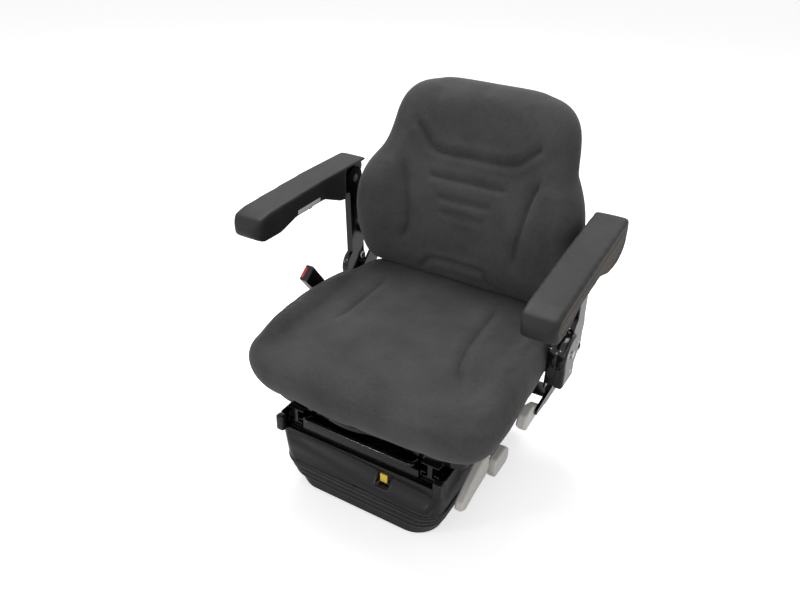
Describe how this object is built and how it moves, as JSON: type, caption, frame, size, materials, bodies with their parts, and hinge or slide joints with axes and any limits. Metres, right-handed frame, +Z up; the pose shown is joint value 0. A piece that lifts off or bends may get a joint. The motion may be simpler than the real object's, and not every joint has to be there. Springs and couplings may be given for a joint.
{
  "type": "suspension seat",
  "caption": "Vehicle suspension seat with moulded backrest and cushion, folding armrests, lap belt reel and buckle, slide rails and a scissor suspension under a bellows.",
  "frame": {"origin": "centre of the base plate's four mounting holes, on the plate's underside", "axes": "+Z up; -Y forwards, the way the occupant faces; +X to the side that carries the levers and the belt reel"},
  "size_m": [0.646, 0.6096, 0.732],
  "materials": {
    "black_steel": "gloss",
    "bright_steel": "brushed",
    "seat_fabric": "woven, matt",
    "arm_foam": "soft grained",
    "black_plastic": "satin",
    "housing_black": "gloss",
    "black_rubber": "satin",
    "grip_grey": "satin",
    "indicator_yellow": "gloss",
    "button_red": "satin",
    "webbing_black": "woven",
    "slide_white": "matt",
    "motor_grey": "cast"
  },
  "bodies": {
    "base": {"base_frame": "black_steel", "base_tracks": "black_steel", "base_pivot_shaft": "bright_steel", "damper_lower_pin": "bright_steel", "air_spring": "black_rubber", "compressor": "motor_grey", "bellows": "black_rubber"},
    "upper": {"upper_frame": "black_steel", "upper_tracks": "black_steel", "upper_pivot_shaft": "bright_steel", "damper_upper_pin": "bright_steel", "suspension_cover": "black_plastic", "left_lower_rail": "black_steel", "right_lower_rail": "black_steel"},
    "outer_arms": {"outer_scissor_arms": "black_steel"},
    "inner_arms": {"inner_scissor_arms": "black_steel"},
    "upper_roller_pair": {"upper_rollers": "black_plastic"},
    "lower_roller_pair": {"lower_rollers": "black_plastic"},
    "damper_body": {"damper_tube": "black_steel"},
    "damper_piston": {"damper_rod": "bright_steel"},
    "indicator": {"height_indicator": "indicator_yellow"},
    "weight_lever": {"weight_lever_arm": "black_steel", "weight_lever_grip": "grip_grey"},
    "height_lever": {"height_lever_arm": "black_steel", "height_lever_grip": "grip_grey"},
    "seat": {"left_upper_rail": "black_steel", "right_upper_rail": "black_steel", "rail_glides": "slide_white", "seat_pan": "black_steel", "seat_cushion": "seat_fabric", "left_side_plate": "black_steel", "right_side_plate": "black_steel", "belt_retractor": "black_steel", "retractor_cover": "housing_black", "retractor_spindle": "bright_steel", "belt_webbing": "webbing_black"},
    "latch": {"latch_bar": "black_steel"},
    "recline_lever": {"recline_lever_arm": "black_steel", "recline_lever_grip": "grip_grey"},
    "backrest": {"back_frame": "black_steel", "back_cushion": "seat_fabric", "back_shell": "black_plastic", "left_arm_support": "black_steel", "right_arm_support": "black_steel", "left_armrest_pin": "bright_steel", "right_armrest_pin": "bright_steel", "belt_hook": "bright_steel"},
    "left_armrest": {"left_armrest_pad": "arm_foam", "left_armrest_shell": "arm_foam"},
    "right_armrest": {"right_armrest_pad": "arm_foam", "right_armrest_shell": "arm_foam"},
    "left_dial": {"left_armrest_dial": "black_plastic"},
    "right_dial": {"right_armrest_dial": "black_plastic"},
    "buckle": {"buckle_stalk": "black_plastic", "buckle_body": "housing_black"},
    "release_button": {"buckle_button": "button_red"}
  },
  "joints": [
    {"name": "suspension", "type": "slide", "parent": "base", "child": "upper", "axis": [0, 0, 1], "range_m": [0, 0.08], "deforming": ["bellows", "air_spring"]},
    {"name": "outer_arms_pivot", "type": "hinge", "parent": "base", "child": "outer_arms", "pos_m": [0, 0.15, 0.019], "axis": [-1, 0, 0], "range_deg": [0, 16.5]},
    {"name": "inner_arms_pivot", "type": "hinge", "parent": "upper", "child": "inner_arms", "pos_m": [0, 0.15, 0.129], "axis": [1, 0, 0], "range_deg": [0, 16.5]},
    {"name": "upper_rollers_spin", "type": "hinge", "parent": "outer_arms", "child": "upper_roller_pair", "pos_m": [0, -0.15581, 0.129], "axis": [1, 0, 0], "continuous": true},
    {"name": "lower_rollers_spin", "type": "hinge", "parent": "inner_arms", "child": "lower_roller_pair", "pos_m": [0, -0.15581, 0.019], "axis": [1, 0, 0], "continuous": true},
    {"name": "damper_swing", "type": "hinge", "parent": "base", "child": "damper_body", "pos_m": [0.076, 0.115, 0.034], "axis": [-1, 0, 0], "range_deg": [0, 17.5]},
    {"name": "damper_stroke", "type": "slide", "parent": "damper_body", "child": "damper_piston", "axis": [0, -0.9253, 0.3794], "range_m": [0, 0.042]},
    {"name": "indicator_slide", "type": "slide", "parent": "upper", "child": "indicator", "axis": [1, 0, 0], "range_m": [0, 0.008]},
    {"name": "weight_lever_turn", "type": "hinge", "parent": "upper", "child": "weight_lever", "pos_m": [0.19, -0.07, 0.125], "axis": [-1, 0, 0], "range_deg": [0, 25]},
    {"name": "height_lever_turn", "type": "hinge", "parent": "upper", "child": "height_lever", "pos_m": [0.19, -0.018, 0.128], "axis": [1, 0, 0], "range_deg": [0, 20]},
    {"name": "fore_aft", "type": "slide", "parent": "upper", "child": "seat", "axis": [0, 1, 0], "range_m": [-0.075, 0.075]},
    {"name": "latch_lift", "type": "hinge", "parent": "seat", "child": "latch", "pos_m": [0, -0.06, 0.175], "axis": [-1, 0, 0], "range_deg": [0, 3], "stiffness_Nm_per_rad": 5, "springref_deg": -2.86},
    {"name": "recline_lever_turn", "type": "hinge", "parent": "seat", "child": "recline_lever", "pos_m": [0.26, 0.118, 0.214], "axis": [-1, 0, 0], "range_deg": [0, 6], "stiffness_Nm_per_rad": 2, "springref_deg": -5.73},
    {"name": "recline", "type": "hinge", "parent": "seat", "child": "backrest", "pos_m": [0, 0.2, 0.262], "axis": [-1, 0, 0], "range_deg": [0, 30]},
    {"name": "left_armrest_fold", "type": "hinge", "parent": "backrest", "child": "left_armrest", "pos_m": [-0.27, 0.185, 0.515], "axis": [-1, 0, 0], "range_deg": [0, 85]},
    {"name": "right_armrest_fold", "type": "hinge", "parent": "backrest", "child": "right_armrest", "pos_m": [0.27, 0.185, 0.515], "axis": [-1, 0, 0], "range_deg": [0, 85]},
    {"name": "buckle_swing", "type": "hinge", "parent": "seat", "child": "buckle", "pos_m": [-0.262, 0.118, 0.222], "axis": [1, 0, 0], "range_deg": [-20, 10]},
    {"name": "buckle_press", "type": "slide", "parent": "buckle", "child": "release_button", "axis": [0, 0.6157, -0.788], "range_m": [0, 0.0025], "stiffness_N_per_m": 600, "springref_m": -0.0005},
    {"name": "left_dial_turn", "type": "hinge", "parent": "left_armrest", "child": "left_dial", "pos_m": [-0.29, 0.04544, 0.49634], "axis": [0, -0.0262, 0.9997], "range_deg": [-90, 90]},
    {"name": "right_dial_turn", "type": "hinge", "parent": "right_armrest", "child": "right_dial", "pos_m": [0.29, 0.04708, 0.48665], "axis": [0, -0.0958, 0.9954], "range_deg": [-90, 90]}
  ],
  "couplings": [
    {"joint": "outer_arms_pivot", "follows": "suspension", "rad_per_m": 3.45},
    {"joint": "inner_arms_pivot", "follows": "suspension", "rad_per_m": 3.45},
    {"joint": "damper_swing", "follows": "suspension", "rad_per_m": 3.72},
    {"joint": "damper_stroke", "follows": "suspension", "ratio": 0.49},
    {"joint": "indicator_slide", "follows": "suspension", "ratio": 0.1}
  ]
}
